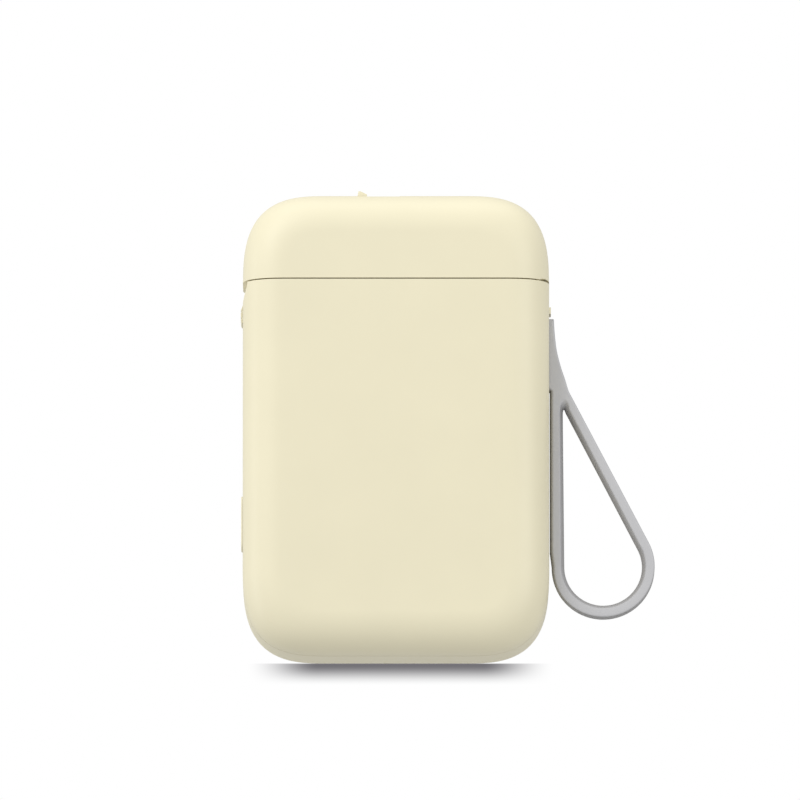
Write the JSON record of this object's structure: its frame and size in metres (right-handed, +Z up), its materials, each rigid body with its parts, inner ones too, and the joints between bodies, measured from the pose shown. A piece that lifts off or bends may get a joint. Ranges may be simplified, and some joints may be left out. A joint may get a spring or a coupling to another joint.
{
  "type": "pocket label printer",
  "caption": "Rounded upright pocket thermal label printer with a side-hinged flip lid, drop-in label roll, tear edge, side buttons and a moulded wrist strap.",
  "frame": {"origin": "centre of the flat bottom face", "axes": "+X to the right across the case towards the strap and lid hinge, +Y from the front face to the back, +Z up"},
  "size_m": [0.1013, 0.03, 0.1144],
  "materials": {
    "case_cream": "satin moulded",
    "steel": "bright",
    "strap_grey": "soft silicone",
    "pad_rubber": "silicone",
    "dark_plastic": "moulded",
    "label_paper": "coated thermal paper",
    "core_card": "wound card",
    "chip_black": "moulded",
    "sheet_steel": "stamped",
    "aluminium": "milled",
    "ceramic_board": "glazed",
    "motor_can": "plated",
    "brass": "machined",
    "gear_white": "acetal",
    "circuit_board": "solder mask",
    "shield_metal": "tinned",
    "battery_wrap": "film",
    "foam_black": "foam",
    "wire_red": "insulation",
    "ribbon_amber": "polyimide film",
    "wire_black": "insulation",
    "platen_black": "ground rubber"
  },
  "bodies": {
    "case": {"front_shell": "case_cream", "rear_shell": "case_cream", "case_screws": "steel", "strap_collar": "case_cream", "strap_pin": "steel", "hinge_bracket": "case_cream", "hinge_pin": "steel", "button_pad": "pad_rubber", "release_spring": "steel", "roll_bay": "dark_plastic", "label_lead": "label_paper", "gap_sensor": "chip_black", "print_frame": "sheet_steel", "head_heatsink": "aluminium", "print_head": "ceramic_board", "head_springs": "steel", "stepper_motor": "motor_can", "gear_axles": "steel", "main_board": "circuit_board", "board_chips": "chip_black", "radio_module": "shield_metal", "usb_port": "shield_metal", "power_switch": "chip_black", "lid_switch": "chip_black", "battery": "battery_wrap", "battery_pad": "foam_black", "battery_leads": "wire_red", "head_ribbon": "ribbon_amber", "motor_leads": "wire_black"},
    "strap": {"strap": "strap_grey"},
    "power_button": {"power_button": "case_cream"},
    "release": {"lid_release_button": "case_cream"},
    "label_roll": {"label_roll": "label_paper", "roll_core": "core_card"},
    "pinion": {"motor_pinion": "brass"},
    "reduction": {"reduction_gear": "gear_white"},
    "idler": {"idler_gear": "gear_white"},
    "lid": {"lid_shell": "case_cream", "lid_liner": "dark_plastic", "latch_hook": "dark_plastic", "lid_screws": "steel", "tear_bar": "case_cream", "platen_bushes": "brass"},
    "platen": {"platen_shaft": "steel", "platen_rubber": "platen_black", "platen_gear": "gear_white"}
  },
  "joints": [
    {"name": "lid_hinge", "type": "hinge", "parent": "case", "child": "lid", "pos_m": [0.0364, 0.002, 0.0902], "axis": [0, 1, 0], "range_deg": [0, 105]},
    {"name": "strap_swing", "type": "hinge", "parent": "case", "child": "strap", "pos_m": [0.0369, 0, 0.0826], "axis": [0, -1, 0], "range_deg": [0, 85]},
    {"name": "power_press", "type": "slide", "parent": "case", "child": "power_button", "axis": [1, 0, 0], "range_m": [0, 0.0005], "stiffness_N_per_m": 1500},
    {"name": "release_press", "type": "slide", "parent": "case", "child": "release", "axis": [1, 0, 0], "range_m": [0, 0.0012], "stiffness_N_per_m": 900, "deforming": ["release_spring"]},
    {"name": "roll_spin", "type": "hinge", "parent": "case", "child": "label_roll", "pos_m": [0.013, 0, 0.068], "axis": [0, 1, 0], "continuous": true},
    {"name": "platen_spin", "type": "hinge", "parent": "lid", "child": "platen", "pos_m": [-0.00138, 0, 0.0985], "axis": [0, 1, 0], "continuous": true},
    {"name": "idler_spin", "type": "hinge", "parent": "case", "child": "idler", "pos_m": [-0.0053, 0, 0.0893], "axis": [0, 1, 0], "continuous": true},
    {"name": "reduction_spin", "type": "hinge", "parent": "case", "child": "reduction", "pos_m": [-0.01372, 0, 0.08613], "axis": [0, 1, 0], "continuous": true},
    {"name": "pinion_spin", "type": "hinge", "parent": "case", "child": "pinion", "pos_m": [-0.02, 0, 0.079], "axis": [0, 1, 0], "continuous": true}
  ],
  "couplings": [
    {"joint": "platen_spin", "follows": "roll_spin", "ratio": 5},
    {"joint": "idler_spin", "follows": "roll_spin", "ratio": -4.0909},
    {"joint": "reduction_spin", "follows": "roll_spin", "ratio": 6.4286},
    {"joint": "pinion_spin", "follows": "roll_spin", "ratio": -18}
  ]
}
